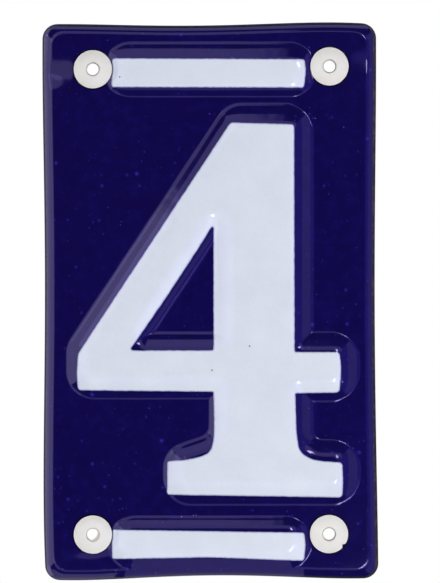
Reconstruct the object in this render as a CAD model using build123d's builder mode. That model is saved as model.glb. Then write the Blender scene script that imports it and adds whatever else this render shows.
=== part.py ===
from build123d import *
import math
import os

# House number plaque: a sheet of steel pressed with a figure 4 between two bars and enamelled,
# and four flanged nylon collars that line its screw holes. Millimetres. +X is to the viewer's
# right, +Z is up and the front faces -Y. The origin is the middle of the plaque, in the plane of
# the wall that its rim stands on.

# Sheet
plate_width = 75.0
plate_height = 125.0
corner_radius = 3.4
sheet_thickness = 1.0  # steel with the enamel on both of its faces
ground_height = 2.6  # from the wall to the front of the flat ground
rim_inside_radius = 0.8  # of the edge that is turned back to the wall

# How far the press drew each edge in at its middle
draw_top = 0.5
draw_bottom = 0.8
draw_left = 0.45
draw_right = 0.55

# Relief
relief = 1.2  # from the ground to the raised flats
flank_slope = 22.0  # degrees from the ground
shoulder_share = 0.7  # of a flank's length that its rounding into the raised flat takes up
foot_share = 0.19  # the same for its rounding into the ground
outer_corner_radius = 3.6  # of the figure, along the edge of its raised flat
inner_corner_radius = 1.6  # along the foot of a flank

# Flat ground left between one thing and the next
rim_to_top_bar = 1.98
rim_to_bottom_bar = 0.23
rim_to_figure_left = 2.83
rim_to_figure_right = 0.58
top_bar_to_figure = 1.21
bottom_bar_to_figure = 1.66

# Raised flats of the bars and the figure
bar_height = 5.4  # the ends are full rounds
bar_end_to_hole = 5.9
stem_width = 17.2
crossbar_height = 8.3
crossbar_rise = 23.4  # above the bottom of the figure
crossbar_overhang = 10.45  # past the right of the stem
tip_height = 8.35  # of the upright end on the left of the crossbar
serif_height = 7.85
serif_overhang_left = 10.4
serif_overhang_right = 11.0
bracket_radius = 5.5  # from the stem into the serif
diagonal_width = 8.4
diagonal_start = 2.25  # to the right of the stem's left side, at the top of the figure
counter_inset = 1.3  # of the counter's upright side, into the stem

# Collars and their screw holes
hole_to_side = 11.0
hole_to_end = 10.25
collar_bore = 3.2
collar_diameter = 9.0
collar_flange = 1.0  # where the coned flange meets the bore
collar_edge = 0.4  # at the flange's outer edge
collar_bevel = 0.15
collar_sleeve = 5.0
collar_sleeve_length = 0.9
sleeve_play = 0.1  # around the sleeve, in the sheet
flange_play = 0.2  # around the flange, in the flat seat that is pressed for it
nick_radius = 0.5  # of the mark that a broken gate left in one flange
nick_angle = -38.0
nicked_collar = "bottom_right"

# Side of the middle that each hole is on in X and Z, and how far it lies out of the true pattern
hole_places = {
    "top_left": (-1, 1, 0.25, -0.30),
    "top_right": (1, 1, 0.30, 0.35),
    "bottom_left": (-1, -1, 0.25, -0.10),
    "bottom_right": (1, -1, 0.20, 0.00),
}

level_band = 0.01  # within which an edge or a face counts as lying at a height

hole_spacing_x = plate_width - 2 * hole_to_side
hole_spacing_z = plate_height - 2 * hole_to_end
hole_centres = {}
for name, (side_x, side_z, off_x, off_z) in hole_places.items():
    hole_centres[name] = (side_x * hole_spacing_x / 2 + off_x, side_z * hole_spacing_z / 2 + off_z)

rim_radius = rim_inside_radius + sheet_thickness
flank_run = relief / math.tan(math.radians(flank_slope))
flank_length = relief / math.sin(math.radians(flank_slope))
bend_share = math.tan(math.radians(flank_slope / 2))
shoulder_radius = shoulder_share * flank_length / bend_share
foot_radius = foot_share * flank_length / bend_share
flank_reach = flank_run + foot_share * flank_length

bar_length = hole_spacing_x - 2 * bar_end_to_hole
top_bar_top = plate_height / 2 - draw_top - rim_radius - rim_to_top_bar - flank_reach
top_bar_bottom = top_bar_top - bar_height
bottom_bar_bottom = draw_bottom + rim_radius + rim_to_bottom_bar + flank_reach - plate_height / 2
bottom_bar_top = bottom_bar_bottom + bar_height
bar_centres = [(0, (top_bar_top + top_bar_bottom) / 2), (0, (bottom_bar_top + bottom_bar_bottom) / 2)]

figure_top = top_bar_bottom - 2 * flank_reach - top_bar_to_figure
figure_bottom = bottom_bar_top + 2 * flank_reach + bottom_bar_to_figure
serif_right = plate_width / 2 - draw_right - rim_radius - rim_to_figure_right - flank_reach
crossbar_left = draw_left + rim_radius + rim_to_figure_left + flank_reach - plate_width / 2
stem_right = serif_right - serif_overhang_right
stem_left = stem_right - stem_width
serif_left = stem_left - serif_overhang_left
serif_top = figure_bottom + serif_height
crossbar_right = stem_right + crossbar_overhang
crossbar_bottom = figure_bottom + crossbar_rise
crossbar_top = crossbar_bottom + crossbar_height
tip_top = crossbar_bottom + tip_height
diagonal_left = stem_left + diagonal_start
diagonal_rise = (figure_top - tip_top) / (diagonal_left - crossbar_left)
diagonal_right = diagonal_left + diagonal_width * math.hypot(1, diagonal_rise) / diagonal_rise
counter_right = stem_left + counter_inset
counter_apex = figure_top - (diagonal_right - counter_right) * diagonal_rise
counter_left = diagonal_right - (figure_top - crossbar_top) / diagonal_rise

bracket_corners = [(stem_left, serif_top), (stem_right, serif_top)]
inner_corners = [
    (stem_right, crossbar_top),
    (stem_right, crossbar_bottom),
    (stem_left, crossbar_bottom),
    (counter_right, counter_apex),
    (counter_right, crossbar_top),
    (counter_left, crossbar_top),
]
outer_corners = [
    (diagonal_left, figure_top),
    (stem_right, figure_top),
    (crossbar_right, crossbar_top),
    (crossbar_right, crossbar_bottom),
    (serif_right, serif_top),
    (serif_right, figure_bottom),
    (serif_left, figure_bottom),
    (serif_left, serif_top),
    (crossbar_left, crossbar_bottom),
    (crossbar_left, tip_top),
]


# Vertices of a sketch that lie nearest to the given points
def vertices_at(sketch, points):
    return [sketch.vertices().sort_by_distance(point)[0] for point in points]


# Those of the given edges or faces that lie at one height in front of the wall
def at_height(shapes, height):
    return shapes.filter_by_position(Axis.Y, -height - level_band, -height + level_band)


# Pressed form with crisp edges: the front of the sheet, or a surface that lies the given depth behind it
def pressed_form(depth):
    half_width = plate_width / 2 - depth
    half_height = plate_height / 2 - depth
    ground = ground_height - depth
    with BuildPart() as form:
        with BuildSketch(Plane.XZ) as outline:
            top_left = (-half_width, half_height)
            top_right = (half_width, half_height)
            bottom_right = (half_width, -half_height)
            bottom_left = (-half_width, -half_height)
            with BuildLine():
                ThreePointArc(top_left, (0, half_height - draw_top), top_right)
                ThreePointArc(top_right, (half_width - draw_right, 0), bottom_right)
                ThreePointArc(bottom_right, (0, draw_bottom - half_height), bottom_left)
                ThreePointArc(bottom_left, (draw_left - half_width, 0), top_left)
            make_face()
            fillet(outline.vertices(), corner_radius - depth)
        extrude(amount=ground)
        front = form.faces().sort_by(Axis.Y)[0]
        fillet(front.edges(), rim_radius - depth)

        with BuildSketch(Plane.XZ.offset(ground + relief)) as flats:
            with BuildLine():
                Polyline(
                    (diagonal_left, figure_top),
                    (stem_right, figure_top),
                    (stem_right, crossbar_top),
                    (crossbar_right, crossbar_top),
                    (crossbar_right, crossbar_bottom),
                    (stem_right, crossbar_bottom),
                    (stem_right, serif_top),
                    (serif_right, serif_top),
                    (serif_right, figure_bottom),
                    (serif_left, figure_bottom),
                    (serif_left, serif_top),
                    (stem_left, serif_top),
                    (stem_left, crossbar_bottom),
                    (crossbar_left, crossbar_bottom),
                    (crossbar_left, tip_top),
                    close=True,
                )
            make_face()
            with BuildLine():
                Polyline(
                    (counter_right, counter_apex),
                    (counter_right, crossbar_top),
                    (counter_left, crossbar_top),
                    close=True,
                )
            make_face(mode=Mode.SUBTRACT)
            fillet(vertices_at(flats, bracket_corners), bracket_radius)
            fillet(vertices_at(flats, inner_corners), inner_corner_radius + flank_run)
            fillet(vertices_at(flats, outer_corners), outer_corner_radius)
            with Locations(*bar_centres):
                SlotOverall(bar_length, bar_height)
            if depth:
                offset(amount=-depth * bend_share)
        extrude(amount=-relief, taper=flank_slope - 90)
    return form.part


# Room above the flat seats of the collars, at the given depth behind the front of the sheet
def seat_room(depth):
    with BuildPart() as room:
        with BuildSketch(Plane.XZ.offset(ground_height - depth)):
            with Locations(*hole_centres.values()):
                Circle(collar_diameter / 2 + flange_play + depth)
        extrude(amount=relief)
    return room.part


# Hollow behind the sheet
with BuildPart() as hollow:
    add(pressed_form(sheet_thickness))
    add(seat_room(sheet_thickness), mode=Mode.SUBTRACT)

# Pressed plate
with BuildPart() as plate:
    add(pressed_form(0))
    fillet(at_height(plate.edges(), ground_height + relief), shoulder_radius)
    ground = at_height(plate.faces(), ground_height).sort_by(SortBy.AREA)[-1]
    rim_edges = ground.outer_wire().edges()
    foot_edges = [edge for edge in at_height(plate.edges(), ground_height) if edge not in rim_edges]
    fillet(foot_edges, foot_radius)
    add(seat_room(0), mode=Mode.SUBTRACT)
    add(hollow.part, mode=Mode.SUBTRACT)
    with BuildSketch(Plane.XZ):
        with Locations(*hole_centres.values()):
            Circle(collar_sleeve / 2 + sleeve_play)
    extrude(amount=ground_height, mode=Mode.SUBTRACT)
plate.part.label = "plate"


# Nylon collar: a coned flange on the front of the sheet and a sleeve through it
def nylon_collar(name):
    x, z = hole_centres[name]
    middle = (x, -ground_height, z)
    section = Plane(origin=middle, x_dir=(1, 0, 0), z_dir=(0, 0, -1))
    seat = Plane(origin=middle, x_dir=(1, 0, 0), z_dir=(0, -1, 0))
    flange_radius = collar_diameter / 2
    sleeve_radius = collar_sleeve / 2
    bore_radius = collar_bore / 2
    with BuildPart() as collar:
        with BuildSketch(section):
            with BuildLine():
                Polyline(
                    (bore_radius, collar_flange),
                    (bore_radius, -collar_sleeve_length),
                    (sleeve_radius, -collar_sleeve_length),
                    (sleeve_radius, 0),
                    (flange_radius, 0),
                    (flange_radius, collar_edge),
                    close=True,
                )
            make_face()
        revolve(axis=Axis(middle, (0, -1, 0)))
        bore_mouth = collar.edges().filter_by(GeomType.CIRCLE).sort_by(Axis.Y)[0]
        chamfer(bore_mouth, collar_bevel)
        if name == nicked_collar:
            with BuildSketch(seat):
                with PolarLocations(collar_diameter / 2, 1, start_angle=nick_angle):
                    Circle(nick_radius)
            extrude(amount=collar_flange, mode=Mode.SUBTRACT)
    collar.part.label = "collar_" + name
    return collar.part


os.makedirs("parts", exist_ok=True)
export_step(plate.part, "parts/plate.step")
for name in hole_places:
    export_step(nylon_collar(name), "parts/collar_" + name + ".step")
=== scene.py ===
import math

import bpy
import numpy as np
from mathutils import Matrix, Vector


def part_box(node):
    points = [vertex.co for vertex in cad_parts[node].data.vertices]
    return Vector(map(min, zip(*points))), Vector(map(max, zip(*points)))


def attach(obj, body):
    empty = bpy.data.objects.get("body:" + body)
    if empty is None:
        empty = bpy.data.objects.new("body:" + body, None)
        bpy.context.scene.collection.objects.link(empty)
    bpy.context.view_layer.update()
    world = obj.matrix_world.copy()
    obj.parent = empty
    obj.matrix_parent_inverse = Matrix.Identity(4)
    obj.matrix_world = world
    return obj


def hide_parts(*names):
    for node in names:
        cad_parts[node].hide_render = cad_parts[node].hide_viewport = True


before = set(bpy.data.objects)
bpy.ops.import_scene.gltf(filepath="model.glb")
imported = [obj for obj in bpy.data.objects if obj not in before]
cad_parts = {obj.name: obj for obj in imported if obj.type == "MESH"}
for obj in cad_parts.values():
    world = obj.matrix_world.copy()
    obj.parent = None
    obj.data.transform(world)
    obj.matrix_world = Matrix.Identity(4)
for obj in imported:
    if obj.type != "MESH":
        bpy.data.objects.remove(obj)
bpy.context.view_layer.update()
print("frame loaded:", sorted(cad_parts))

mm = 0.001


# Shared helpers

# sRGB hex to linear colour: the sRGB curve undone channel by channel
def hexColour(code, alpha=1.0):
    raw = np.array([int(code[i:i + 2], 16) for i in (1, 3, 5)]) / 255.0
    linear = np.where(raw <= 0.04045, raw / 12.92, ((raw + 0.055) / 1.055) ** 2.4)
    return (*linear.tolist(), alpha)


# A node with its settings, and for each input a value, a hex colour or the output that feeds it. It gives
# back the output that is asked for
def addNode(tree, kind, give, inputs=None, **settings):
    node = tree.nodes.new("ShaderNode" + kind)
    for key, value in settings.items():
        setattr(node, key, value)
    for key, value in (inputs or {}).items():
        if isinstance(value, bpy.types.NodeSocket):
            tree.links.new(value, node.inputs[key])
        else:
            node.inputs[key].default_value = hexColour(value) if isinstance(value, str) else value
    return None if give is None else node.outputs[give]


# A mesh piece from points in mm and tables of corners: unused points are dropped and the rest renumbered
def addPiece(name, points, faceTables, attributes=None):
    used, inverse = np.unique(np.concatenate([t.ravel() for t in faceTables]), return_inverse=True)
    sizes = [t.size for t in faceTables]
    parts = np.split(inverse, np.cumsum(sizes)[:-1])
    faces = []
    for part, table in zip(parts, faceTables):
        faces += part.reshape(table.shape).tolist()
    mesh = bpy.data.meshes.new(name)
    mesh.from_pydata((points[used] * mm).tolist(), [], faces)
    mesh.polygons.foreach_set("use_smooth", np.ones(len(mesh.polygons), bool))
    for key, values in (attributes or {}).items():
        layer = mesh.attributes.new(key, "FLOAT", "POINT")
        layer.data.foreach_set("value", values[used].astype(np.float32))
    mesh.update()
    piece = bpy.data.objects.new(name, mesh)
    bpy.context.scene.collection.objects.link(piece)
    print(name, "points", len(mesh.vertices), "triangles", sum(len(f) - 2 for f in faces))
    return piece


# Quads between two closed rings of the same count, inner ring first; a quad whose inner corners are one
# point becomes a triangle
def ringFaces(inner, outer):
    innerNext, outerNext = np.roll(inner, -1), np.roll(outer, -1)
    same = inner == innerNext
    quads = np.stack([inner, outer, outerNext, innerNext], 1)[~same]
    triangles = np.stack([inner, outer, outerNext], 1)[same]
    return [t for t in (quads, triangles) if len(t)]


# Smooth step: 0 below low, 1 above high and a cubic ease between
def ease(value, low, high):
    t = np.clip((value - low) / (high - low), 0, 1)
    return t * t * (3 - 2 * t)


# Closed loop of straight runs joined by arcs. Each corner is x, z and radius: the arc's centre lies on the
# corner's bisector, and its start is turned about that centre in equal steps
def roundedLoop(corners, steps=10):
    table = np.array(corners, float)
    point, radius = table[:, :2], table[:, 2]
    back = np.roll(point, 1, 0) - point
    ahead = np.roll(point, -1, 0) - point
    back /= np.linalg.norm(back, axis=1)[:, None]
    ahead /= np.linalg.norm(ahead, axis=1)[:, None]
    half = 0.5 * np.arccos(np.clip((back * ahead).sum(1), -1, 1))
    bisector = back + ahead
    bisector /= np.linalg.norm(bisector, axis=1)[:, None]
    centre = point + bisector * (radius / np.sin(half))[:, None]
    start = point + back * (radius / np.tan(half))[:, None] - centre
    end = point + ahead * (radius / np.tan(half))[:, None] - centre
    sweep = np.arctan2(start[:, 0] * end[:, 1] - start[:, 1] * end[:, 0], (start * end).sum(1))
    turn = sweep[:, None] * np.linspace(0, 1, steps + 1)
    x = centre[:, :1] + start[:, :1] * np.cos(turn) - start[:, 1:] * np.sin(turn)
    z = centre[:, 1:] + start[:, :1] * np.sin(turn) + start[:, 1:] * np.cos(turn)
    return np.stack([x.ravel(), z.ravel()], 1)


# Distance from each point to the nearest run of a closed loop, below zero inside it: the foot of the
# perpendicular on every run, and a count of the runs that a line to the right crosses. Points are taken in
# blocks to spare memory
def signedDistance(x, z, loop, blockSize=4000):
    start, end = loop, np.roll(loop, -1, 0)
    run = end - start
    length = (run ** 2).sum(1) + 1e-18
    lean = run[:, 0] / np.where(run[:, 1] == 0, 1e-12, run[:, 1])
    distance = np.empty(x.size)
    for block in np.array_split(np.arange(x.size), 1 + x.size // blockSize):
        px = x.ravel()[block, None] - start[:, 0]
        pz = z.ravel()[block, None] - start[:, 1]
        along = np.clip((px * run[:, 0] + pz * run[:, 1]) / length, 0, 1)
        gap = np.hypot(px - along * run[:, 0], pz - along * run[:, 1]).min(1)
        crossed = ((pz >= 0) != (pz >= run[:, 1])) & (px < pz * lean)
        distance[block] = np.where(crossed.sum(1) % 2 == 1, -gap, gap)
    return distance.reshape(x.shape)


# Positions from low to high, packed closer near some places: the running sum of a density that has a bell
# at each place, read back in equal steps
def closerLines(low, high, count, places, reach):
    fine = np.linspace(low, high, 6000)
    bells = np.exp(-((fine[:, None] - np.array(places)) / reach) ** 2).sum(1)
    total = np.cumsum(1 + np.clip(bells, 0, 1))
    return np.interp(np.linspace(total[0], total[-1], count + 1), total, fine)


# Plate: one pressed sheet of enamelled steel, in mm and degrees

plateForm = {
    "width": 75.0,
    "height": 125.0,
    "corner": 3.4,
    "sheet": 1.0,
    "ground": 2.6,  # front of the flat ground above the wall
    "holeRadius": 2.6,
    "seatRadius": 4.55,
    "seatWiden": 0.3,  # of the seat's radius, for each mm toward the back
    "seatFade": (-0.2, 1.3),  # from the seat's radius, where a bar's relief starts and is full

    # turned edge
    "bend": 2.3,  # outside radius
    "cutRound": 0.1,
    "cornerBend": 5.0,  # radius in plan of its inner line at a corner
    "cornerFade": 2.0,  # inset at which that wider corner holds in full
    "reliefFade": (0.9, 1.7),  # insets between which relief and waves grow to their full height
    "dentFade": (0.0, 2.4),  # the same for the dents
    "farInside": 9.0,  # inset that stands for the whole face inside the edge

    # how far the press drew each edge in, at five even places from bottom to top or from left to right
    "edgeDraw": {
        "right": (-0.35, 0.15, 0.45, 0.3, 0.15),
        "left": (0.45, 0.15, 0.4, 0.15, -0.15),
        "top": (0.25, 0.5, 0.55, 0.05, 0.05),
        "bottom": (-0.25, 0.2, 0.8, 0.5, 0.15),
    },

    # pressed flanks: rise of the raised flat, steepest slope, radius at the top and at the foot
    "figurePress": {"rise": 1.2, "slope": 22.5, "shoulder": 12.0, "foot": 3.2},
    "topBarPress": {"rise": 0.87, "slope": 18.0, "shoulder": 15.0, "foot": 2.6},
    "bottomBarPress": {"rise": 0.95, "slope": 22.0, "shoulder": 9.7, "foot": 2.6},
    "footPinch": 0.4,  # radius at the foot of the right-hand corners
    "pinchShare": (0.1, 0.45),  # shares of a corner's turn at which the pinch starts and is full
    "pinchReach": 9.0,  # from a corner's centre

    # edges of the figure's raised flat
    "figure": {
        "top": 41.1,
        "bottom": -42.4,
        "stemLeft": 3.05,
        "stemRight": 19.85,
        "crossbarTop": -10.0,
        "crossbarBottomLeft": -18.7,
        "crossbarBottomRight": -19.3,
        "crossbarRight": 30.25,
        "tipLeft": -28.85,
        "tipTop": -10.85,
        "diagonalTop": 5.45,  # left side of the diagonal, at the top of the figure
        "diagonalWidth": 8.4,
        "counterRight": 4.1,
        "serifLeft": -7.2,
        "serifRight": 30.4,
        "serifTop": -34.1,
        "serifTopLeft": -35.4,  # the left serif slopes, from here up to the stem
        "serifTopStem": -31.8,
        "outerCorner": 3.0,
        "innerCorner": 1.2,
        "counterCorner": 2.2,
        "bracket": 5.5,
    },

    # raised flats of the bars: middle, half length of the straight part, half height and press
    "bars": [(51.8, 17.8, 3.36, "topBarPress"), (-54.1, 16.7, 3.55, "bottomBarPress")],

    # the sheet falls away beside three of its holes: direction, sideways offset, where the fall starts from
    # the hole's middle, its length, its slope and its half width
    "dents": {
        "collar_top_left": (180.0, 0.2, 4.2, 9.0, 4.3, 3.3),
        "collar_top_right": (0.0, 2.1, 4.6, 9.0, 2.5, 2.8),
        "collar_bottom_left": (-85.0, 0.0, 4.1, 0.9, 5.0, 3.4),
    },
    "dentSoft": 0.3,  # over which a fall starts and ends

    # slow waves of the fired surface: height of each, then length, direction in radians and phase
    "waveHeight": 0.008 / 2.2,
    "waves": [(19.0, 0.4, 0.3), (13.0, 1.9, 2.1), (27.0, 2.7, 4.0), (9.5, 1.2, 5.2), (16.0, 5.5, 1.1)],

    # white coat, which was laid on a little to the left of the relief and below it: x, z and corner radius
    "whiteFigure": [
        (4.6, 39.95, 0.6), (18.85, 39.55, 0.7),  # top
        (18.95, -11.45, 0.35), (29.05, -11.45, 0.9), (29.4, -15.6, 8.0), (29.0, -20.5, 0.8),  # crossbar
        (19.1, -20.65, 0.3), (19.35, -29.0, 12.0), (19.8, -32.75, 3.0), (20.75, -34.35, 3.0),  # bracket
        (23.05, -35.55, 5.0), (25.35, -35.9, 8.0), (29.65, -36.2, 0.8), (29.8, -40.2, 12.0),  # serif
        (29.7, -44.0, 0.8), (-9.55, -43.4, 0.5), (-9.55, -35.9, 0.5), (-5.85, -35.65, 8.0),  # serif, left
        (-2.4, -35.0, 5.0), (-0.45, -34.15, 2.0), (0.45, -33.05, 2.0), (0.85, -30.75, 5.0),  # bracket, left
        (1.0, -28.6, 8.0), (0.85, -20.3, 0.3),
        (-29.6, -20.0, 0.7), (-29.8, -15.6, 10.0), (-29.5, -11.8, 0.6),  # tip
    ],
    "whiteCounter": [
        (0.85, 17.4, 0.3), (0.85, -11.1, 0.4), (-18.05, -11.1, 0.4), (-10.3, 0.1, 40.0), (-2.95, 11.3, 40.0),
    ],
    "whiteBars": [
        [(-21.9, 54.35, 0.5), (21.2, 54.15, 0.6), (21.5, 51.6, 6.0), (21.1, 47.85, 0.6),
         (-22.0, 47.95, 0.5)],
        [(-21.9, -51.25, 0.5), (21.2, -51.9, 0.7), (21.4, -55.2, 6.0), (21.1, -58.2, 0.6),
         (0.0, -57.4, 60.0), (-21.9, -57.8, 0.5)],
    ],

    # mesh: cells across and up the front, steps round a corner, where a flank's middle lies from its flat,
    # how far closer lines reach round it, other uprights that have them, and a hole's block and rings
    "columns": 172,
    "rows": 296,
    "fan": 10,
    "flankMiddle": 2.5,
    "barFlankMiddle": 2.3,
    "closeReach": 1.8,
    "closeUprights": (-32.5, -10.2, -22.0, 22.0, 33.5),
    "holeBlock": (-3.5, 3.9),
    "holeRings": (0.35, 0.7, 1.0),
}

# Half of the flat grid, which ends at the centres of the corners
gridX = plateForm["width"] / 2 - plateForm["corner"]
gridZ = plateForm["height"] / 2 - plateForm["corner"]


# Middle of a collar's hole: the middle of its node's box, from the frame
def holePlace(name):
    low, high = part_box(name)
    return (low.x + high.x) / 2 / mm, (low.z + high.z) / 2 / mm


holePlaces = {name: holePlace(name) for name in sorted(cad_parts) if name.startswith("collar_")}


# Outline of the figure's raised flat and of its counter, as corners. The diagonal's right side is its left
# side moved across by its width, and the counter's corners lie where that meets the stem and the crossbar
def figureCorners():
    f = plateForm["figure"]
    outer, inner, close, bracket = f["outerCorner"], f["innerCorner"], f["counterCorner"], f["bracket"]
    lean = (f["diagonalTop"] - f["tipLeft"]) / (f["top"] - f["tipTop"])
    across = f["diagonalWidth"] * math.hypot(1, lean)
    counterLeft = f["tipLeft"] + across + lean * (f["crossbarTop"] - f["tipTop"])
    apex = f["tipTop"] + (f["counterRight"] - f["tipLeft"] - across) / lean
    outline = [
        (f["diagonalTop"], f["top"], outer),
        (f["stemRight"], f["top"], outer),
        (f["stemRight"], f["crossbarTop"], inner),
        (f["crossbarRight"], f["crossbarTop"], outer),
        (f["crossbarRight"], f["crossbarBottomRight"], outer),
        (f["stemRight"], f["crossbarBottomRight"], inner),
        (f["stemRight"], f["serifTop"], bracket),
        (f["serifRight"], f["serifTop"], outer),
        (f["serifRight"], f["bottom"], outer),
        (f["serifLeft"], f["bottom"], outer),
        (f["serifLeft"], f["serifTopLeft"], outer),
        (f["stemLeft"], f["serifTopStem"], bracket),
        (f["stemLeft"], f["crossbarBottomLeft"], inner),
        (f["tipLeft"], f["crossbarBottomLeft"], outer),
        (f["tipLeft"], f["tipTop"], outer),
    ]
    counter = [
        (f["counterRight"], apex, close),
        (f["counterRight"], f["crossbarTop"], close),
        (counterLeft, f["crossbarTop"], close),
    ]
    return outline, counter


# Height of a pressed flank over the distance from the edge of its raised flat: the flat, an arc down from
# it, a straight slope, an arc into the ground, then nothing. A surface behind the front has its arcs about
# the same centres
def flankHeight(gap, press, depth):
    lean = math.radians(press["slope"])
    half, reach = math.tan(lean / 2), math.sin(lean)
    shoulder, foot = press["shoulder"] - depth, press["foot"] + depth
    gap = gap + depth * half
    fromTop = np.clip(gap + shoulder * half, 0, shoulder * reach)
    toFoot = np.clip(press["rise"] / math.tan(lean) + foot * half - gap, 0, foot * reach)
    onShoulder = press["rise"] - shoulder + np.sqrt(shoulder ** 2 - fromTop ** 2)
    onFoot = foot - np.sqrt(foot ** 2 - toFoot ** 2)
    onSlope = press["rise"] - gap * math.tan(lean)
    return np.where(fromTop < shoulder * reach, onShoulder, np.where(toFoot < foot * reach, onFoot, onSlope))


# Share of a point in the right-hand outer corners, 1 round a corner's diagonal and 0 beside a straight
# edge: the lesser of its two offsets from the corner's centre over its distance from it, eased
def cornerShare(x, z):
    f = plateForm["figure"]
    radius = f["outerCorner"]
    corners = [
        (f["stemRight"], f["top"], 1),
        (f["crossbarRight"], f["crossbarTop"], 1),
        (f["crossbarRight"], f["crossbarBottomRight"], -1),
        (f["serifRight"], f["serifTop"], 1),
        (f["serifRight"], f["bottom"], -1),
    ]
    centres = [(right - radius, end - radius * way, way) for right, end, way in corners]
    for middle, straight, half, press in plateForm["bars"]:
        centres += [(straight, middle, 1), (straight, middle, -1)]
    share = np.zeros(x.shape)
    for cx, cz, way in centres:
        away = np.hypot(x - cx, z - cz) + 1e-9
        turned = ease(np.minimum(x - cx, (z - cz) * way) / away, *plateForm["pinchShare"])
        share = np.maximum(share, turned * (away < plateForm["pinchReach"]))
    return share


# A flank whose foot is sharp where the given share is 1: the plain and the sharp flank, mixed by it
def pinchedFlank(gap, press, depth, share):
    sharp = {**press, "foot": plateForm["footPinch"]}
    return flankHeight(gap, press, depth) * (1 - share) + flankHeight(gap, sharp, depth) * share


# Relief over the ground: the highest of the figure, whose counter is cut out of it, and the two bars, which
# fade out around the flat seats
def reliefHeight(x, z, depth):
    outline, counter = (roundedLoop(corners) for corners in figureCorners())
    gap = np.maximum(signedDistance(x, z, outline), -signedDistance(x, z, counter))
    pinched = cornerShare(x, z)
    bars = np.zeros(x.shape)
    for middle, straight, half, press in plateForm["bars"]:
        fromBar = np.hypot(np.maximum(np.abs(x) - straight, 0), z - middle) - half
        bars = np.maximum(bars, pinchedFlank(fromBar, plateForm[press], depth, pinched))
    seat = plateForm["seatRadius"] + depth * plateForm["seatWiden"]
    none, full = plateForm["seatFade"]
    for cx, cz in holePlaces.values():
        bars = bars * ease(np.hypot(x - cx, z - cz), seat + none, seat + full)
    return np.maximum(pinchedFlank(gap, plateForm["figurePress"], depth, pinched), bars)


# Slow waves of a fired surface: a sum of a few sines across the plate in unlike directions
def firedWaves(x, z):
    total = np.zeros(x.shape)
    for length, angle, phase in plateForm["waves"]:
        total += np.sin(2 * math.pi * (x * math.cos(angle) + z * math.sin(angle)) / length + phase)
    return plateForm["waveHeight"] * total


# Depth of the dents: each is a bell across, and along it a slope that starts and ends softly
def dentDepth(x, z):
    soft = plateForm["dentSoft"]
    depth = np.zeros(x.shape)
    for name, (direction, offset, start, length, slope, half) in plateForm["dents"].items():
        turn = math.radians(direction)
        dx, dz = x - holePlaces[name][0], z - holePlaces[name][1]
        along = dx * math.cos(turn) + dz * math.sin(turn) - start
        across = dz * math.cos(turn) - dx * math.sin(turn) - offset
        run = (np.hypot(along, soft) - np.hypot(along - length, soft) + length) / 2
        depth += math.tan(math.radians(slope)) * run * np.exp(-(across / half) ** 2)
    return depth


# Front of the sheet over its flat ground: relief and waves, less the dents. On the turned edge all of them
# fade out toward the cut, over the inset
def frontRise(x, z, inset):
    raised = reliefHeight(x, z, 0.0) + firedWaves(x, z)
    dented = dentDepth(x, z) * ease(inset, *plateForm["dentFade"])
    return raised * ease(inset, *plateForm["reliefFade"]) - dented


# Plan of the plate: a straight grid whose border is moved in by the edges' own curves, in proportion to how
# near a point is to each edge. An edge's curve is the quartic through its five places
def platePlan(u, v):
    draw = {}
    for side, depths in plateForm["edgeDraw"].items():
        quartic = np.polyfit(np.linspace(-1, 1, len(depths)), depths, len(depths) - 1)
        draw[side] = np.polyval(quartic, v if side in ("left", "right") else u)
    x = u * gridX - (1 + u) / 2 * draw["right"] + (1 - u) / 2 * draw["left"]
    z = v * gridZ - (1 + v) / 2 * draw["top"] + (1 - v) / 2 * draw["bottom"]
    return x, z


# Profile of the turned edge, as side, inset from the outline and height above the wall: flat ground and a
# quarter round on the front, side 1; the cut edge with its two small roundings, 0; the inner round on the
# back, -1
def rimProfile():
    bend, small, sheet, ground = (plateForm[key] for key in ("bend", "cutRound", "sheet", "ground"))
    inside, lift = bend - sheet, ground - bend
    wide, few, inner = (np.radians(np.linspace(0, 90, count)) for count in (13, 4, 6))
    frontFlat, backFlat = np.array([0.6, 0.3]), np.array([0.45])  # flat run inside the bend
    runs = [
        (1, bend + frontFlat, ground + 0 * frontFlat),
        (1, bend - bend * np.sin(wide), lift + bend * np.cos(wide)),
        (0, small - small * np.cos(few[1:]), small - small * np.sin(few[1:])),
        (0, sheet - small + small * np.sin(few[1:]), small - small * np.cos(few[1:])),
        (-1, bend - inside * np.cos(inner[1:]), lift + inside * np.sin(inner[1:])),
        (-1, bend + backFlat, ground - sheet + 0 * backFlat),
    ]
    side = np.concatenate([np.full(len(inset), code) for code, inset, height in runs])
    return side, np.concatenate([run[1] for run in runs]), np.concatenate([run[2] for run in runs])


# How much lower the turned edge lies near a corner than along a side: its inner line turns with a wider
# radius than the outline, so its quarter round is read at the inset from that wider corner
def cornerFall(x, z, inset):
    bend, corner, wide = plateForm["bend"], plateForm["corner"], plateForm["cornerBend"]
    sideX, sideZ = np.where(x > 0, 1, -1), np.where(z > 0, 1, -1)
    fanX, fanZ = platePlan(sideX, sideZ)
    acrossX = np.maximum((x - fanX) * sideX + wide - corner, 0)
    acrossZ = np.maximum((z - fanZ) * sideZ + wide - corner, 0)
    turned = np.where(np.minimum(acrossX, acrossZ) > 0, wide - np.hypot(acrossX, acrossZ), inset)
    read = inset + (np.clip(turned, 0, None) - inset) * ease(inset, 0, plateForm["cornerFade"])
    height, lower = (np.sqrt(bend ** 2 - np.clip(bend - i, 0, bend) ** 2) for i in (inset, read))
    return height - lower


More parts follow.
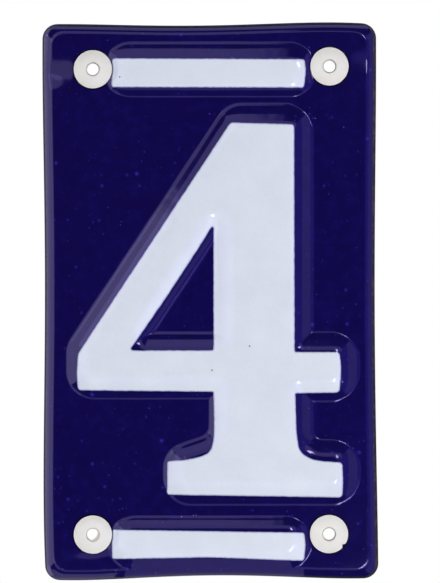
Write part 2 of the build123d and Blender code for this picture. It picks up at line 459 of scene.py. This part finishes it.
# Lines of the front grid across and up, from -1 to 1, closer together over the flanks
def gridLines():
    f, flank, barFlank = plateForm["figure"], plateForm["flankMiddle"], plateForm["barFlankMiddle"]
    uprights = [*plateForm["closeUprights"], f["stemLeft"] - flank, f["stemRight"] + flank]
    levels = [f["top"] + flank, f["crossbarTop"] + flank, f["serifTop"] + flank]
    levels += [f["crossbarBottomRight"] - flank, f["bottom"] - flank]
    for middle, straight, half, press in plateForm["bars"]:
        levels += [middle - half - barFlank, middle + half + barFlank]
    u = closerLines(-gridX, gridX, plateForm["columns"], uprights, plateForm["closeReach"]) / gridX
    v = closerLines(-gridZ, gridZ, plateForm["rows"], levels, plateForm["closeReach"]) / gridZ
    return u, v


# Border of a block of grid points, anticlockwise from the lower left
def blockBorder(index, i0, i1, k0, k1):
    bottom, top = index[k0, i0:i1 + 1], index[k1, i0:i1 + 1]
    left, right = index[k0:k1 + 1, i0], index[k0:k1 + 1, i1]
    return [bottom, right, top[::-1], left[::-1]]


# Points added to the sheet's lists, with every value spread to the shape of x. It gives back their numbers
# in that shape
def addPoints(sheet, x, y, z, inset, back):
    first = sum(part.size for part in sheet["x"])
    for key, values in (("x", x), ("y", y), ("z", z), ("inset", inset), ("back", back)):
        sheet[key].append(np.broadcast_to(np.asarray(values, float), x.shape).ravel())
    return first + np.arange(x.size).reshape(x.shape)


# The rim's profile carried round the front's border, with a fan at each corner whose directions lie between
# its two sides, and joined to the back's border, which has every second point
def addTurnedEdge(sheet, frontSides, backSides):
    fan = plateForm["fan"]
    loop, angle = [], []
    for side, points in enumerate(frontSides):
        facing = (side - 1) * math.pi / 2
        loop += [points, np.full(fan - 1, points[-1])]
        angle += [np.full(len(points), facing), facing + math.pi / 2 * np.arange(1, fan) / fan]
    loop, angle = np.concatenate(loop), np.concatenate(angle)
    side, inset, height = (column[:, None] for column in rimProfile())
    out = plateForm["corner"] - inset
    x = sheet["x"][0][loop] + out * np.cos(angle)
    z = sheet["z"][0][loop] + out * np.sin(angle)
    rise = np.where(side == 1, frontRise(x, z, inset) - cornerFall(x, z, inset), 0)
    rise = np.where(side == -1, reliefHeight(x, z, plateForm["sheet"]), rise)
    index = addPoints(sheet, x, -(height + rise), z, inset, side == -1)
    rings = [loop, *index]
    for inner, outer in zip(rings[:-1], rings[1:]):
        sheet["faces"] += ringFaces(inner, outer)
    last, place = index[-1], 0
    for points, coarse in zip(frontSides, backSides):
        fine = last[place:place + len(points)]
        sheet["faces"].append(np.stack([fine[:-1:2], coarse[:-1], coarse[1:], fine[2::2], fine[1::2]], 1))
        turn = np.take(last, np.arange(place + len(points) - 1, place + len(points) + fan), mode="wrap")
        sheet["faces"].append(np.stack([turn[:-1], np.full(fan, coarse[-1]), turn[1:]], 1))
        place += len(points) + fan - 1


# A screw hole: on each face a square block of cells is taken out and its border closes in rings to a
# circle, and a wall joins the two circles
def addHole(sheet, centre, lines, grids, keeps):
    cx, cz = centre
    block, radius = np.array(plateForm["holeBlock"]), plateForm["holeRadius"]
    i0, i1 = (2 * (np.searchsorted(lines[0] * gridX, cx + block) // 2)).tolist()
    k0, k1 = (2 * (np.searchsorted(lines[1] * gridZ, cz + block) // 2)).tolist()
    share = np.array(plateForm["holeRings"])[:, None]
    levels = (-plateForm["ground"], plateForm["sheet"] - plateForm["ground"])
    circles = []
    for back, (index, keep, level) in enumerate(zip(grids, keeps, levels)):
        left, right, low, high = (line // (back + 1) for line in (i0, i1, k0, k1))
        keep[low:high, left:right] = False
        square = np.concatenate([run[:-1] for run in blockBorder(index, left, right, low, high)])
        squareX, squareZ = (np.concatenate(sheet[key])[square] for key in ("x", "z"))
        around = np.arctan2(squareZ - cz, squareX - cx)
        x = squareX + share * (cx + radius * np.cos(around) - squareX)
        z = squareZ + share * (cz + radius * np.sin(around) - squareZ)
        rings = [square, *addPoints(sheet, x, level, z, plateForm["farInside"], back)]
        for outer, inner in zip(rings[:-1], rings[1:]):
            sheet["faces"] += [table[:, ::-1] if back else table for table in ringFaces(inner, outer)]
        circles.append(rings[-1])
    fine, coarse = circles
    wrap = np.append(fine, fine[0])
    sheet["faces"].append(np.stack([wrap[:-1:2], wrap[1::2], wrap[2::2], np.roll(coarse, -1), coarse], 1))


# What the enamel needs to know at each point: how far inside the white coat it lies, its inset from the
# outline, whether it is on the back, and its distance from the nearest flange, which places the painted
# shade ring round it
def coatAttributes(x, z, inset, back):
    figure, counter = (roundedLoop(plateForm[key]) for key in ("whiteFigure", "whiteCounter"))
    white = np.maximum(signedDistance(x, z, figure), -signedDistance(x, z, counter))
    for bar in plateForm["whiteBars"]:
        white = np.minimum(white, signedDistance(x, z, roundedLoop(bar)))
    toHole = np.min([np.hypot(x - cx, z - cz) for cx, cz in holePlaces.values()], 0)
    far = 5.0  # past which nothing changes
    seatGap = np.clip(toHole - collarForm["flangeRadius"], -far, far)
    return {"whiteCoat": -np.clip(white, -far, far), "rimInset": inset, "backFace": back, "seatGap": seatGap}


# The sheet: a front grid, a back grid of every second line, the turned edge round both and the holes
# through them
def buildPlate():
    columns, rows, inside = plateForm["columns"], plateForm["rows"], plateForm["farInside"]
    ground, thick = plateForm["ground"], plateForm["sheet"]
    sheet = {key: [] for key in ("x", "y", "z", "inset", "back", "faces")}
    lines = gridLines()
    frontX, frontZ = platePlan(*np.meshgrid(*lines))
    backX, backZ = frontX[::2, ::2], frontZ[::2, ::2]
    frontY = -(ground + frontRise(frontX, frontZ, inside))
    backY = -(ground - thick + reliefHeight(backX, backZ, thick))
    front = addPoints(sheet, frontX, frontY, frontZ, inside, 0)
    back = addPoints(sheet, backX, backY, backZ, inside, 1)
    frontSides = blockBorder(front, 0, columns, 0, rows)
    backSides = blockBorder(back, 0, columns // 2, 0, rows // 2)
    addTurnedEdge(sheet, frontSides, backSides)
    keeps = np.ones((rows, columns), bool), np.ones((rows // 2, columns // 2), bool)
    for centre in holePlaces.values():
        addHole(sheet, centre, lines, (front, back), keeps)
    frontCells = np.stack([front[:-1, :-1], front[:-1, 1:], front[1:, 1:], front[1:, :-1]], -1)
    backCells = np.stack([back[:-1, :-1], back[1:, :-1], back[1:, 1:], back[:-1, 1:]], -1)  # turned round
    sheet["faces"] += [frontCells[keeps[0]], backCells[keeps[1]]]
    x, y, z, inset, behind = (np.concatenate(sheet[key]) for key in ("x", "y", "z", "inset", "back"))
    coats = coatAttributes(x, z, inset, behind)
    return addPiece("enamelPlate", np.stack([x, y, z], 1), sheet["faces"], coats)


# Collars: moulded nylon, each with a domed flange on the sheet and a sleeve through it, in mm

collarForm = {
    "flangeRadius": 4.3,
    "top": 1.0,
    "edge": 0.4,
    "dome": 0.14,  # how far the flange bulges over a straight cone
    "round": 0.16,
    "mouth": 1.52,
    "bore": 1.32,
    "sleeveRadius": 2.5,
    "sleeve": 0.9,
    "sleeveBevel": 0.1,
    "fillet": 0.06,  # where the sleeve meets the flange
    "nickAngle": -38.0,  # of the gate mark in the flange at the bottom right
    "nickDepth": 0.5,
    "nickTurn": 0.085,  # half of its width, in radians
    "nickReach": (0.6, 0.1),  # from the flange's edge, where it starts and is full
    "flashAngle": -40.0,  # of the thin web left in the bore at the bottom left
    "flashWidth": 0.42,
    "flashLevel": 0.36,
    "flashHalf": (0.09, 0.04),  # half thickness at the bore and at its free edge
    "flashStart": 0.25,  # cosine at which the web starts
    "around": 96,
}


# Closed profile of a collar, as radius and height above the seat: a bulged cone from edge to bore, a
# rounded mouth, a bore that narrows, the sleeve, the underside and a rounded edge
def collarProfile():
    form = collarForm
    rim, mouth, bore, small = (form[key] for key in ("flangeRadius", "mouth", "bore", "round"))
    sleeve, under, bevel, fillet = form["sleeveRadius"], -form["sleeve"], form["sleeveBevel"], form["fillet"]
    level, (wide, thin) = form["flashLevel"], form["flashHalf"]
    t = np.linspace(0, 1, 8)
    turn = np.radians(np.linspace(0, 90, 5))
    dome = np.stack([rim - small + (mouth + small - rim + small) * t,
                     form["edge"] + (form["top"] - form["edge"]) * t + form["dome"] * 4 * t * (1 - t)], 1)
    lip = np.stack([mouth + small - small * np.sin(turn[1:]),
                    form["top"] - small + small * np.cos(turn[1:])], 1)
    web = [[bore, level + gap] for gap in (wide, thin, -thin, -wide)]
    tube = [[bore, under + bevel], [bore + bevel, under], [sleeve - bevel, under], [sleeve, under + bevel],
            [sleeve, -fillet], [sleeve + fillet, 0.0], [rim - small, 0.0]]
    edge = np.stack([rim - small + small * np.sin(turn[1:]), small - small * np.cos(turn[1:])], 1)
    upper = np.stack([rim - small + small * np.cos(turn[1:-1]),
                      form["edge"] - small + small * np.sin(turn[1:-1])], 1)
    return np.concatenate([dome, lip, web, tube, edge, upper])


# Surface of revolution about the hole's axis: the profile carried round in equal angles, with its radius
# changed over the angle for the nick and the web
def buildCollar(name):
    form = collarForm
    profile = collarProfile()
    angle = np.linspace(0, 2 * math.pi, form["around"], endpoint=False)
    radius = np.repeat(profile[:, :1], len(angle), 1)
    height = np.repeat(profile[:, 1:], len(angle), 1)
    if name == "collar_bottom_right":
        off = (angle - math.radians(form["nickAngle"]) + math.pi) % (2 * math.pi) - math.pi
        start, full = (form["flangeRadius"] - reach for reach in form["nickReach"])
        nick = form["nickDepth"] * np.exp(-(off / form["nickTurn"]) ** 2)
        radius = radius - nick * ease(radius, start, full)
    if name == "collar_bottom_left":
        start, thin = form["flashStart"], form["flashHalf"][1]
        reach = np.clip(np.cos(angle - math.radians(form["flashAngle"])) - start, 0, 1) / (1 - start)
        nearWeb = np.abs(profile[:, 1] - form["flashLevel"]) < 1.25 * thin
        inWeb = (profile[:, 0] == form["bore"]) & nearWeb
        radius = radius - form["flashWidth"] * inWeb[:, None] * reach
    cx, cz = holePlaces[name]
    y = -(plateForm["ground"] + height)
    points = np.stack([cx + radius * np.cos(angle), y, cz + radius * np.sin(angle)], -1)
    index = np.arange(radius.size).reshape(radius.shape)
    faces = []
    for inner, outer in zip(np.roll(index, -1, 0), index):
        faces += ringFaces(inner, outer)
    return addPiece(name.replace("collar_", "nylon_collar_"), points.reshape(-1, 3), faces)


plate = buildPlate()
collars = {name: buildCollar(name) for name in holePlaces}


# Materials

# Vitreous enamel on steel, dipped and fired twice: a deep violet blue with a wet gloss, a cool white coat
# laid over it whose edge has bled a little, a dark thin coat where the edge was cut, and a speckled dark
# back. Sizes in mm
enamelLook = {
    "blue": "#09033e",
    "blueCloud": "#0f074e",
    "cloudSize": 4.0,
    "blueBlotch": "#150c60",
    "blotchSize": 2.0,
    # flecks of frit, specks that did not melt, and dust: colour, cell, share of the cells that have one,
    # largest radius as a share of the cell, and how soft it is
    "flecks": [("#2c2290", 2.6, 0.4, 0.26, 0.22), ("#423ba6", 1.5, 0.42, 0.13, 0.09),
               ("#8f8cc8", 6.0, 0.4, 0.024, 0.008)],
    "driftSize": 9.0,
    "white": "#d6dce8",
    "whiteCloud": "#d0d6e4",
    "milkSize": 6.0,
    "toothSize": 0.5,
    "whiteThin": "#8f93c0",
    "waverSize": 1.2,  # of the waver in the white's edge
    "waver": 0.2,
    "whiteThinReach": (0.0, 0.14),  # inside the white's edge, where the thin coat starts and is full
    "whiteReach": (0.06, 0.42),  # the same for the full coat
    "whiteStep": 0.4,  # how far the white stands out, as a share of swimDepth
    "pinhole": "#3a3540",
    "pinholes": [(8.88, -10.1), (-20.2, 50.2), (0.47, -15.5)],  # the three that show
    "pinholeRadii": (0.1, 0.22),  # dark out to the first, gone at the second
    # painted shade: a dark ring round each flange that stands in for the contact shadow in the corner under
    # it
    "paintedShade": "#05030f",
    "paintedShadeShare": 0.85,
    "paintedShadeGaps": (0.22, 0.42),  # from a flange, where it is darkest and where it ends
    "edge": "#202024",
    "rust": "#4a3a2c",
    "rustSize": 1.1,
    "rustStart": (34.0, 37.0),  # across the plate, where rust starts and is full
    "edgeReach": (0.62, 0.8),  # inset over which the edge coat ends
    "edgeWiden": 0.25,  # how much wider it is on the right
    "raggedSize": 0.8,  # of the waver in its line
    "ragged": 0.5,
    "back": "#1d1d24",
    "backSpeck": "#6b6d78",
    "backSpeckSize": 0.5,
    "gloss": 0.07,
    "dull": 0.62,
    "swimSize": 6.0,
    "swimDepth": 0.02,
    "shine": "#c9bcff",  # the cobalt glass tints what it mirrors
}


# Coats laid over one another in turn: each share of the surface takes the next colour
def layCoats(tree, colour, coats):
    for share, over in coats:
        colour = addNode(tree, "Mix", 2, {0: share, 6: colour, 7: over}, data_type="RGBA")
    return colour


# Round flecks in the plane of the plate, in drifts, one to a cell: a cell's random value gives its radius,
# the drift changes it, and the fleck is where that is more than the distance from the cell's middle
def flecks(tree, flat, size, share, radius, soft):
    cells = {"Vector": flat, "Scale": 1 / (size * mm)}
    distance = addNode(tree, "TexVoronoi", "Distance", cells, voronoi_dimensions="2D")
    chance = distance.node.outputs["Color"]
    drift = addNode(tree, "TexNoise", "Fac", {"Vector": flat, "Scale": 1 / (enamelLook["driftSize"] * mm)})
    drift = addNode(tree, "MapRange", 0, {0: drift, 1: 0.38, 2: 0.62, 3: 0.5, 4: 1.25})
    reach = addNode(tree, "MapRange", 0, {0: chance, 1: 1 - share, 2: 1.0, 4: radius})
    reach = addNode(tree, "Math", 0, {0: reach, 1: drift}, operation="MULTIPLY")
    inside = addNode(tree, "Math", 0, {0: reach, 1: distance}, operation="SUBTRACT")
    return addNode(tree, "MapRange", 0, {0: inside, 2: soft})


# Blue: soft clouds, faint blotches, and flecks of three kinds
def blueGlass(tree, place, flat):
    look = enamelLook
    clouds, blotches = 1 / (look["cloudSize"] * mm), 1 / (look["blotchSize"] * mm)
    cloud = addNode(tree, "TexNoise", "Fac", {"Vector": place, "Scale": clouds, "Detail": 3.0})
    blotch = addNode(tree, "TexNoise", "Fac", {"Vector": place, "Scale": blotches, "Detail": 3.0})
    blotch = addNode(tree, "MapRange", 0, {0: blotch, 1: 0.52, 2: 0.75, 4: 0.3})
    coats = [(cloud, look["blueCloud"]), (blotch, look["blueBlotch"])]
    coats += [(flecks(tree, flat, *kind), colour) for colour, *kind in look["flecks"]]
    return layCoats(tree, look["blue"], coats)


# White: milky clouds with a fine tooth, and three pinholes
def whiteGlass(tree, place, flat):
    look = enamelLook
    clouds, teeth = 1 / (look["milkSize"] * mm), 1 / (look["toothSize"] * mm)
    milk = addNode(tree, "TexNoise", "Fac", {"Vector": place, "Scale": clouds})
    tooth = addNode(tree, "TexNoise", "Fac", {"Vector": place, "Scale": teeth, "Detail": 1.0})
    milk = addNode(tree, "Math", 0, {0: tooth, 1: 0.5, 2: milk}, operation="MULTIPLY_ADD")
    coats = [(addNode(tree, "MapRange", 0, {0: milk, 1: 0.5, 2: 1.0}), look["whiteCloud"])]
    dark, gone = (radius * mm for radius in look["pinholeRadii"])
    for x, z in look["pinholes"]:
        gap = addNode(tree, "VectorMath", "Value", {0: flat, 1: (x * mm, z * mm, 0)}, operation="DISTANCE")
        hole = addNode(tree, "MapRange", 0, {0: gap, 1: dark, 2: gone, 3: 1.0, 4: 0.0})
        coats.append((hole, look["pinhole"]))
    return layCoats(tree, look["white"], coats)


# Dark thin coat of the cut edge, with rust coming through in spots on the right
def edgeCoat(tree, place, rightSide):
    look = enamelLook
    size = look["rustSize"] * mm
    spots = addNode(tree, "TexNoise", "Fac", {"Vector": place, "Scale": 1 / size, "Detail": 3.0})
    spots = addNode(tree, "MapRange", 0, {0: spots, 1: 0.5, 2: 0.62})
    bare = addNode(tree, "Math", 0, {0: spots, 1: rightSide}, operation="MULTIPLY")
    return layCoats(tree, look["edge"], [(bare, look["rust"])])


# Back: dark ground coat with pale specks
def groundCoat(tree, place):
    look = enamelLook
    size = look["backSpeckSize"] * mm
    specks = addNode(tree, "TexNoise", "Fac", {"Vector": place, "Scale": 1 / size, "Detail": 3.0})
    specks = addNode(tree, "MapRange", 0, {0: specks, 1: 0.6, 2: 0.72, 4: 0.8})
    return layCoats(tree, look["back"], [(specks, look["backSpeck"])])


# Enamel: blue, and over it the white, a painted shade ring round each flange, the edge coat and the back's
# coat, each where the plate's own attributes put it
def enamelMaterial():
    look = enamelLook
    material = bpy.data.materials.new("vitreousEnamel")
    material.use_nodes = True
    tree = material.node_tree
    tree.nodes.clear()
    place = addNode(tree, "TexCoord", "Object")
    axes = addNode(tree, "SeparateXYZ", "X", {0: place}).node.outputs
    flat = addNode(tree, "CombineXYZ", 0, {0: axes["X"], 1: axes["Z"]})
    coat, rim, behind, seat = (addNode(tree, "Attribute", "Fac", attribute_name=key)
                               for key in ("whiteCoat", "rimInset", "backFace", "seatGap"))

    # the white's edge wavers by a twentieth of a millimetre and thins before it stops
    waver = addNode(tree, "TexNoise", "Fac", {"Vector": place, "Scale": 1 / (look["waverSize"] * mm)})
    coatEdge = addNode(tree, "Math", 0, {0: waver, 1: look["waver"], 2: coat}, operation="MULTIPLY_ADD")
    (thinStart, thinFull), (start, full) = look["whiteThinReach"], look["whiteReach"]
    thin = addNode(tree, "MapRange", 0, {0: coatEdge, 1: thinStart, 2: thinFull})
    thick = addNode(tree, "MapRange", 0, {0: coatEdge, 1: start, 2: full})

    # painted shade in the corner under a flange: a dark ring that stands in for its contact shadow; and the
    # ragged line of the edge coat, which is wider on the right
    shadeDarkest, shadeGone = look["paintedShadeGaps"]
    paintedShade = addNode(tree, "MapRange", 0, {0: seat, 1: shadeDarkest, 2: shadeGone, 3: look["paintedShadeShare"], 4: 0.0})
    start, full = (x * mm for x in look["rustStart"])
    rightSide = addNode(tree, "MapRange", 0, {0: axes["X"], 1: start, 2: full})
    line = addNode(tree, "Math", 0, {0: rightSide, 1: -look["edgeWiden"], 2: rim}, operation="MULTIPLY_ADD")
    size = look["raggedSize"] * mm
    ragged = addNode(tree, "TexNoise", "Fac", {"Vector": place, "Scale": 1 / size, "Detail": 4.0})
    line = addNode(tree, "Math", 0, {0: ragged, 1: look["ragged"], 2: line}, operation="MULTIPLY_ADD")
    start, full = look["edgeReach"]
    edge = addNode(tree, "MapRange", 0, {0: line, 1: start, 2: full, 3: 1.0, 4: 0.0})
    # the dark ring laid over the white round each flange is painted shade
    colour = layCoats(tree, blueGlass(tree, place, flat), [
        (thin, look["whiteThin"]), (thick, whiteGlass(tree, place, flat)), (paintedShade, look["paintedShade"]),
        (edge, edgeCoat(tree, place, rightSide)), (behind, groundCoat(tree, place))])

    # wet gloss on the front, duller on the edge and the back; slow swims, and the white stands a little out
    dull = addNode(tree, "Math", 0, {0: edge, 1: behind}, operation="MAXIMUM")
    rough = addNode(tree, "MapRange", 0, {0: dull, 3: look["gloss"], 4: look["dull"]})
    swim = addNode(tree, "TexNoise", "Fac", {"Vector": place, "Scale": 1 / (look["swimSize"] * mm)})
    swim = addNode(tree, "Math", 0, {0: thick, 1: look["whiteStep"], 2: swim}, operation="MULTIPLY_ADD")
    normal = addNode(tree, "Bump", 0, {"Height": swim, "Strength": 1.0, "Distance": look["swimDepth"] * mm})
    shader = addNode(tree, "BsdfPrincipled", 0, {
        "Base Color": colour, "Roughness": rough, "Normal": normal,
        "IOR": 1.55, "Specular Tint": look["shine"]})
    addNode(tree, "OutputMaterial", None, {"Surface": shader})
    return material


# Natural nylon, moulded: an off-white that lets a little light in, with a soft satin shine and faint flow
# marks. Sizes in mm
nylonLook = {
    "body": "#e0dedc",
    "flow": "#d6d4d0",
    "flowSize": 2.5,
    "satin": 0.4,
    "grainSize": 0.35,
    "grainDepth": 0.006,
    "lightShare": 0.15,
    "lightDepth": 0.4,
}


# Nylon: flow marks mixed into the body colour, and a fine grain as bump
def nylonMaterial():
    look = nylonLook
    material = bpy.data.materials.new("mouldedNylon")
    material.use_nodes = True
    tree = material.node_tree
    tree.nodes.clear()
    place = addNode(tree, "TexCoord", "Object")
    marks, grains = 1 / (look["flowSize"] * mm), 1 / (look["grainSize"] * mm)
    flow = addNode(tree, "TexNoise", "Fac", {"Vector": place, "Scale": marks, "Detail": 3.0})
    grain = addNode(tree, "TexNoise", "Fac", {"Vector": place, "Scale": grains})
    depth = look["grainDepth"] * mm
    normal = addNode(tree, "Bump", 0, {"Height": grain, "Strength": 1.0, "Distance": depth})
    shader = addNode(tree, "BsdfPrincipled", 0, {
        "Base Color": layCoats(tree, look["body"], [(flow, look["flow"])]), "Roughness": look["satin"],
        "Normal": normal, "IOR": 1.53,
        "Subsurface Weight": look["lightShare"], "Subsurface Scale": look["lightDepth"] * mm})
    addNode(tree, "OutputMaterial", None, {"Surface": shader})
    return material


plate.data.materials.append(enamelMaterial())
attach(plate, "root")
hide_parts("plate")
nylon = nylonMaterial()
for name, collar in collars.items():
    collar.data.materials.append(nylon)
    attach(collar, "root")
    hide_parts(name)
print("materials set")


# Studio: a pale floor below the plaque, a soft key at the right and two fills for the colours, lamps and
# pale panels that only the gloss mirrors, and a camera straight in front

studio = {
    "cameraDistance": 0.9,
    "sensor": 36.0,
    "pictureHeight": 583,  # pixels
    "pixelsPerMm": 4.46,
    "aim": (2.265, 2.13),  # middle of the picture on the plaque, mm
    "floor": "#f2f0ec",
    "floorDrop": 0.26,
    "floorBack": 0.1,
    "floorRadius": 0.45,
    "worldAxis": 0.05,
    "worldFront": 0.08,
    "worldBack": 0.12,
    "axisEnds": (-0.99, -0.94),  # Y of the direction in which worldAxis ends and worldFront starts
    "frontEnds": (-0.1, 0.3),  # the same for worldFront and worldBack
}

# Lights: lowest and highest corner in metres, radiance, colour and the kind of light that each gives
panels = {
    "rightKey": ((0.1, -0.97, -0.45), (0.45, -0.97, 0.25), 11.6, "#ffffff", "diffuse"),
    "frontFill": ((-0.6, -1.1, -0.6), (0.6, -1.1, 0.6), 0.7, "#ffffff", "diffuse"),
    "backFill": ((-0.6, 1.1, -0.6), (0.6, 1.1, 0.6), 2.4, "#ffffff", "diffuse"),
    "upperLamp": ((0.165, -0.9, 0.155), (0.21, -0.9, 0.235), 22.0, "#ffffff", "glossy"),
    "lowerLamp": ((0.085, -0.9, -0.225), (0.13, -0.9, -0.135), 17.0, "#ffffff", "glossy"),
    "upperCorner": ((0.62, -0.2, 0.75), (0.72, -0.1, 0.75), 30.0, "#ffffff", "glossy"),
    "lowerCorner": ((0.62, -0.2, -0.75), (0.72, -0.1, -0.75), 30.0, "#ffffff", "glossy"),
    "leftAxis": ((-0.6, -4.2, -0.9), (-0.6, -2.45, 0.9), 1.0, "#ffffff", "glossy"),
    "leftFar": ((-0.6, -2.45, -0.35), (-0.6, -0.45, 0.43), 1.95, "#ffffff", "glossy"),
    "leftNear": ((-0.6, -0.45, -0.8), (-0.6, 0.2, 0.8), 2.4, "#ffffff", "glossy"),
    "topStrip": ((-0.6, -0.95, 0.195), (0.35, -0.95, 0.345), 1.15, "#eceaff", "glossy"),
    "upperPanel": ((-0.6, -0.95, 0.345), (0.03, -0.95, 0.665), 1.35, "#eceaff", "glossy"),
    "ceiling": ((-0.6, -0.53, 0.8), (0.6, 0.05, 0.8), 1.3, "#ffffff", "glossy"),
    "bottomStrip": ((-0.4, -0.95, -0.38), (0.4, -0.95, -0.15), 1.0, "#d8d2ff", "glossy"),
    "lowerCard": ((-0.019, -0.0245, -0.068), (0.021, 0.03, -0.068), 0.9, "#e4e0ff", "glossy"),
    "lowerLeft": ((-0.15, -0.03, -0.085), (-0.021, 0.02, -0.085), 1.2, "#ffffff", "glossy"),
    "rightFar": ((0.7, -6.4, -1.0), (0.7, -1.08, 0.6), 0.9, "#8478ff", "glossy"),
    "rightNear": ((0.7, -1.08, -1.0), (0.7, 0.1, 0.6), 1.0, "#c4bcff", "glossy"),
}


# A rectangular soft panel that faces the plaque: power is radiance times area times pi
def softPanel(name, lowCorner, highCorner, radiance, colour, gives):
    low, high = np.array(lowCorner), np.array(highCorner)
    span, middle = high - low, (low + high) / 2
    flat = int(np.argmin(span))
    facing = np.zeros(3)
    facing[flat] = -np.sign(middle[flat])
    wide, tall = {0: (1, 2), 1: (0, 2), 2: (0, 1)}[flat]
    lamp = bpy.data.lights.new(name, "AREA")
    lamp.shape = "RECTANGLE"
    lamp.size, lamp.size_y = span[wide], span[tall]
    lamp.energy = radiance * lamp.size * lamp.size_y * math.pi
    lamp.color = hexColour(colour)[:3]
    panel = bpy.data.objects.new(name, lamp)
    panel.location = middle.tolist()
    panel.rotation_mode = "QUATERNION"
    panel.rotation_quaternion = Vector(facing).to_track_quat("-Z", "Y")
    panel.visible_camera = False
    panel.visible_diffuse = gives != "glossy"
    panel.visible_glossy = gives != "diffuse"
    bpy.context.scene.collection.objects.link(panel)


# A pale round floor, one face with its corners on a circle, which the gloss doesn't mirror
def paleFloor():
    count, radius = 64, studio["floorRadius"]
    angle = np.linspace(0, 2 * math.pi, count, endpoint=False)
    x, y = radius * np.cos(angle), studio["floorBack"] + radius * np.sin(angle)
    level = np.full(count, -studio["floorDrop"])
    mesh = bpy.data.meshes.new("floor")
    mesh.from_pydata(np.stack([x, y, level], 1).tolist(), [], [list(range(count))])
    floor = bpy.data.objects.new("floor", mesh)
    bpy.context.scene.collection.objects.link(floor)
    floor.visible_glossy = False
    paint = bpy.data.materials.new("floorPaint")
    paint.use_nodes = True
    shader = paint.node_tree.nodes["Principled BSDF"]
    shader.inputs["Base Color"].default_value = hexColour(studio["floor"])
    shader.inputs["Roughness"].default_value = 0.8
    mesh.materials.append(paint)


# World: white to the camera, otherwise dim in front of the plaque and less dim behind it
def studioWorld():
    world = bpy.data.worlds.new("studioWorld")
    world.use_nodes = True
    bpy.context.scene.world = world
    tree = world.node_tree
    tree.nodes.clear()
    toward = addNode(tree, "TexCoord", "Generated")
    depth = addNode(tree, "SeparateXYZ", "Y", {0: toward})
    low, high = studio["axisEnds"]
    inFront = addNode(tree, "MapRange", 0, {
        0: depth, 1: low, 2: high, 3: studio["worldAxis"], 4: studio["worldFront"]})
    low, high = studio["frontEnds"]
    level = addNode(tree, "MapRange", 0, {0: depth, 1: low, 2: high, 3: inFront, 4: studio["worldBack"]})
    seen = addNode(tree, "LightPath", "Is Camera Ray")
    strength = addNode(tree, "Mix", 0, {0: seen, 2: level, 3: 1.0}, data_type="FLOAT")
    shade = addNode(tree, "Background", 0, {"Color": "#ffffff", "Strength": strength})
    addNode(tree, "OutputWorld", None, {"Surface": shade})


# Camera: the lens that gives the picture's scale at the front of the ground
def studioCamera():
    lens = bpy.data.cameras.new("camera")
    lens.sensor_width = studio["sensor"]
    seenHeight = studio["pictureHeight"] / studio["pixelsPerMm"] * mm
    lens.lens = studio["sensor"] * studio["cameraDistance"] / seenHeight
    lens.clip_start, lens.clip_end = 0.01, 10.0
    camera = bpy.data.objects.new("camera", lens)
    aimX, aimZ = studio["aim"]
    camera.location = (aimX * mm, -studio["cameraDistance"] - plateForm["ground"] * mm, aimZ * mm)
    camera.rotation_euler = (math.pi / 2, 0, 0)
    bpy.context.scene.collection.objects.link(camera)
    bpy.context.scene.camera = camera


for name, values in panels.items():
    softPanel(name, *values)
paleFloor()
studioWorld()
studioCamera()
bpy.context.scene.view_settings.view_transform = "Standard"
print("studio set")
